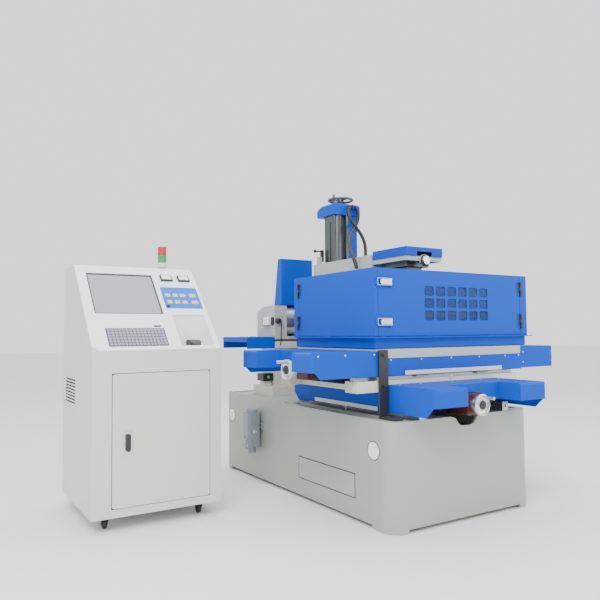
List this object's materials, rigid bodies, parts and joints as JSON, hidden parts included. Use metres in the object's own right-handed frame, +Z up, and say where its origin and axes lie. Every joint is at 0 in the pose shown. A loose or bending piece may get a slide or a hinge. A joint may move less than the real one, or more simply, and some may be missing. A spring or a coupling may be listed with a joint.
{
  "type": "wire edm machine",
  "caption": "Wire cutting machine: two-axis slide table with splash guard on a cast bed, column with wire arms, drum unit and a sloped-console cabinet",
  "frame": {"origin": "middle of the footprint of machine and cabinet together, on the floor", "axes": "+X along the machine's front to the right, +Y to the back, +Z up"},
  "size_m": [2.657, 2.033, 1.9368],
  "materials": {
    "bed_paint": "satin machine paint, greenish grey",
    "cream_paint": "satin machine paint, cream",
    "grey_casting": "satin grey machine paint",
    "blue_sheet": "semi-gloss blue powder coat",
    "cabinet_paint": "fine textured light grey powder coat",
    "panel_paint": "smooth near-white paint",
    "ground_steel": "ground guideway steel",
    "dark_steel": "oiled dark steel",
    "stainless": "polished stainless sheet",
    "handwheel_metal": "turned aluminium",
    "motor_red": "dark red enamel",
    "black_hardware": "black oxide",
    "pump_paint": "grey-blue enamel",
    "clear_pane": "clear sheet",
    "screen_glass": "grey screen behind clear glass",
    "keypad_film": "printed membrane",
    "black_plastic": "moulded black plastic",
    "key_plastic": "moulded keys under film",
    "lamp_plastic": "translucent lamp lenses",
    "conduit_rubber": "ribbed black conduit",
    "caster_rubber": "black caster tread"
  },
  "bodies": {
    "machine": {"bed_casting": "bed_paint", "y_guide_rails": "ground_steel", "column_post": "dark_steel", "column_covers": "blue_sheet", "lower_arm": "grey_casting", "drum_bed": "cream_paint", "switch_post": "black_hardware", "oil_pump": "pump_paint", "cabinet_shell": "cabinet_paint", "console_panel": "panel_paint", "monitor": "screen_glass", "panel_instruments": "keypad_film", "signal_tower": "lamp_plastic", "power_unit": "cabinet_paint", "rear_caster_brackets": "black_hardware", "keyboard": "black_plastic", "conduit": "conduit_rubber"},
    "saddle": {"saddle_casting": "cream_paint", "saddle_end_covers": "blue_sheet", "saddle_side_aprons": "blue_sheet", "x_guide_rails": "ground_steel", "y_drive_motor": "motor_red", "transit_strap": "black_hardware"},
    "table": {"table_casting": "grey_casting", "table_left_cover": "blue_sheet", "table_right_cover": "blue_sheet", "table_apron": "blue_sheet", "x_drive_motor": "motor_red", "water_tray": "blue_sheet", "work_rails": "ground_steel", "guard_shell": "blue_sheet", "guard_hardware": "black_hardware"},
    "left_door": {"left_door": "blue_sheet"},
    "front_door": {"front_door": "blue_sheet", "front_window": "clear_pane"},
    "upper_latch": {"upper_latch": "stainless"},
    "lower_latch": {"lower_latch": "stainless"},
    "y_wheel": {"y_handwheel": "handwheel_metal"},
    "x_wheel": {"x_handwheel": "handwheel_metal"},
    "z_wheel": {"z_handwheel": "dark_steel"},
    "arm": {"upper_arm": "grey_casting", "uv_cover": "blue_sheet"},
    "clamp_lever": {"clamp_lever": "black_hardware"},
    "v_slide": {"v_slide": "dark_steel"},
    "u_head": {"u_slide_head": "dark_steel"},
    "drum_carriage": {"drum_carriage": "grey_casting", "drum_covers": "blue_sheet"},
    "wire_drum": {"wire_drum": "handwheel_metal"},
    "upper_pulley": {"upper_pulley": "stainless"},
    "lower_pulley": {"lower_pulley": "stainless"},
    "pump_lever": {"oil_pump_lever": "black_plastic"},
    "cabinet_door": {"cabinet_door": "cabinet_paint"},
    "door_handle": {"door_handle": "black_plastic"},
    "keys": {"keyboard_keys": "key_plastic"},
    "mouse": {"mouse": "black_plastic"},
    "fork_left": {"caster_fork_left": "black_hardware"},
    "fork_right": {"caster_fork_right": "black_hardware"},
    "wheel_left": {"caster_wheel_left": "caster_rubber"},
    "wheel_right": {"caster_wheel_right": "caster_rubber"},
    "rear_wheels": {"rear_caster_wheels": "caster_rubber"}
  },
  "joints": [
    {"name": "saddle_slide", "type": "slide", "parent": "machine", "child": "saddle", "axis": [0, 1, 0], "range_m": [-0.17, 0.17]},
    {"name": "table_slide", "type": "slide", "parent": "saddle", "child": "table", "axis": [1, 0, 0], "range_m": [-0.15, 0.2]},
    {"name": "y_wheel_turn", "type": "hinge", "parent": "saddle", "child": "y_wheel", "pos_m": [0.3895, -0.9295, 0.602], "axis": [0, 1, 0], "continuous": true},
    {"name": "x_wheel_turn", "type": "hinge", "parent": "table", "child": "x_wheel", "pos_m": [-0.3935, -0.3065, 0.78], "axis": [1, 0, 0], "continuous": true},
    {"name": "z_slide", "type": "slide", "parent": "machine", "child": "arm", "axis": [0, 0, 1], "range_m": [0, 0.2], "deforming": ["conduit"]},
    {"name": "z_wheel_turn", "type": "hinge", "parent": "machine", "child": "z_wheel", "pos_m": [0.4735, 0.3965, 1.908], "axis": [0, 0, 1], "continuous": true},
    {"name": "clamp_turn", "type": "hinge", "parent": "arm", "child": "clamp_lever", "pos_m": [0.3645, 0.4715, 1.48], "axis": [1, 0, 0], "range_deg": [-30, 0]},
    {"name": "v_travel", "type": "slide", "parent": "arm", "child": "v_slide", "axis": [0, 1, 0], "range_m": [-0.018, 0.018]},
    {"name": "u_travel", "type": "slide", "parent": "v_slide", "child": "u_head", "axis": [1, 0, 0], "range_m": [-0.018, 0.018]},
    {"name": "drum_shuttle", "type": "slide", "parent": "machine", "child": "drum_carriage", "axis": [1, 0, 0], "range_m": [-0.05, 0.05]},
    {"name": "drum_spin", "type": "hinge", "parent": "drum_carriage", "child": "wire_drum", "pos_m": [0.2675, 0.7065, 1.057], "axis": [1, 0, 0], "continuous": true},
    {"name": "upper_pulley_spin", "type": "hinge", "parent": "u_head", "child": "upper_pulley", "pos_m": [0.4735, -0.2735, 1.1648], "axis": [1, 0, 0], "continuous": true},
    {"name": "lower_pulley_spin", "type": "hinge", "parent": "machine", "child": "lower_pulley", "pos_m": [0.4735, -0.2735, 1.0025], "axis": [1, 0, 0], "continuous": true},
    {"name": "left_door_hinge", "type": "hinge", "parent": "table", "child": "left_door", "pos_m": [-0.094, 0.0645, 1], "axis": [0, 0, -1], "range_deg": [0, 75]},
    {"name": "front_door_hinge", "type": "hinge", "parent": "table", "child": "front_door", "pos_m": [1.0325, -0.674, 1], "axis": [0, 0, 1], "range_deg": [0, 110]},
    {"name": "upper_latch_turn", "type": "hinge", "parent": "front_door", "child": "upper_latch", "pos_m": [0.0165, -0.6755, 1.24], "axis": [0, 0, 1], "range_deg": [0, 120]},
    {"name": "lower_latch_turn", "type": "hinge", "parent": "front_door", "child": "lower_latch", "pos_m": [0.0165, -0.6755, 1.01], "axis": [0, 0, 1], "range_deg": [0, 120]},
    {"name": "pump_lever_turn", "type": "hinge", "parent": "machine", "child": "pump_lever", "pos_m": [-0.1705, 0.5865, 0.21], "axis": [0, -1, 0], "range_deg": [0, 35], "stiffness_Nm_per_rad": 2},
    {"name": "cabinet_door_hinge", "type": "hinge", "parent": "machine", "child": "cabinet_door", "pos_m": [-0.7225, -0.0165, 0.4], "axis": [0, 0, 1], "range_deg": [0, 100]},
    {"name": "door_handle_turn", "type": "hinge", "parent": "cabinet_door", "child": "door_handle", "pos_m": [-1.1515, -0.0205, 0.434], "axis": [0, 1, 0], "range_deg": [0, 90]},
    {"name": "key_press", "type": "slide", "parent": "machine", "child": "keys", "axis": [0, 0.7263, -0.6874], "range_m": [0, 0.002], "stiffness_N_per_m": 2000, "springref_m": -0.002},
    {"name": "mouse_slide", "type": "slide", "parent": "machine", "child": "mouse", "axis": [1, 0, 0], "range_m": [-0.02, 0.02]},
    {"name": "left_caster_swivel", "type": "hinge", "parent": "machine", "child": "fork_left", "pos_m": [-1.2385, 0.0695, 0.06], "axis": [0, 0, 1], "continuous": true},
    {"name": "right_caster_swivel", "type": "hinge", "parent": "machine", "child": "fork_right", "pos_m": [-0.7325, 0.0695, 0.06], "axis": [0, 0, 1], "continuous": true},
    {"name": "left_caster_roll", "type": "hinge", "parent": "fork_left", "child": "wheel_left", "pos_m": [-1.2385, 0.0815, 0.025], "axis": [1, 0, 0], "continuous": true},
    {"name": "right_caster_roll", "type": "hinge", "parent": "fork_right", "child": "wheel_right", "pos_m": [-0.7325, 0.0815, 0.025], "axis": [1, 0, 0], "continuous": true},
    {"name": "rear_caster_roll", "type": "hinge", "parent": "machine", "child": "rear_wheels", "pos_m": [-0.9855, 0.5915, 0.025], "axis": [1, 0, 0], "continuous": true}
  ]
}
